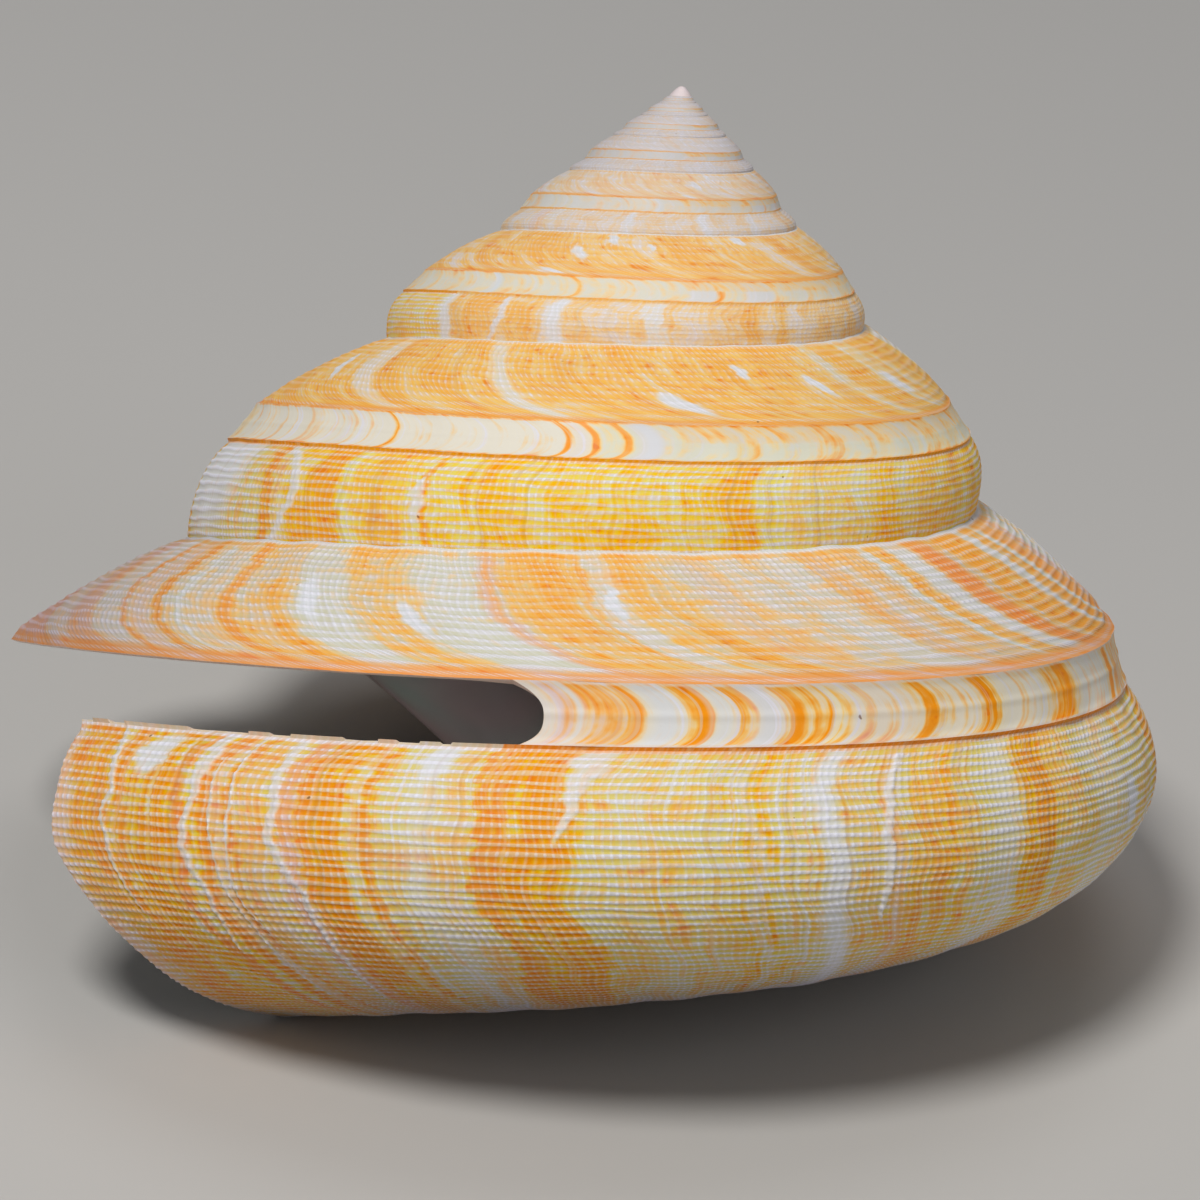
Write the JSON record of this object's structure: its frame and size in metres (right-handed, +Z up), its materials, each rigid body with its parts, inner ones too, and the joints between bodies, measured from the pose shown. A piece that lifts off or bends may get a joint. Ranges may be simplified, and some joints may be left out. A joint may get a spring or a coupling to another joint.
{
  "type": "slit shell",
  "caption": "Low conical sea shell wound in a right-handed spiral, with an open mouth under a thin lip and a long slit cut back from the lip.",
  "frame": {"origin": "centre of the footprint box of the resting shell, on the ground", "axes": "+Z up as the shell rests on its base, +X to the right in the picture, along the shell's greatest width; the front of the last whorl faces -Y and the mouth opens towards -X and +Y"},
  "size_m": [0.0742, 0.0712, 0.05],
  "materials": {
    "shell": "satin lime shell, cream with orange growth bands and rows of fine pale beads, pearly inside"
  },
  "bodies": {
    "root": {"shell": "shell"}
  },
  "joints": []
}
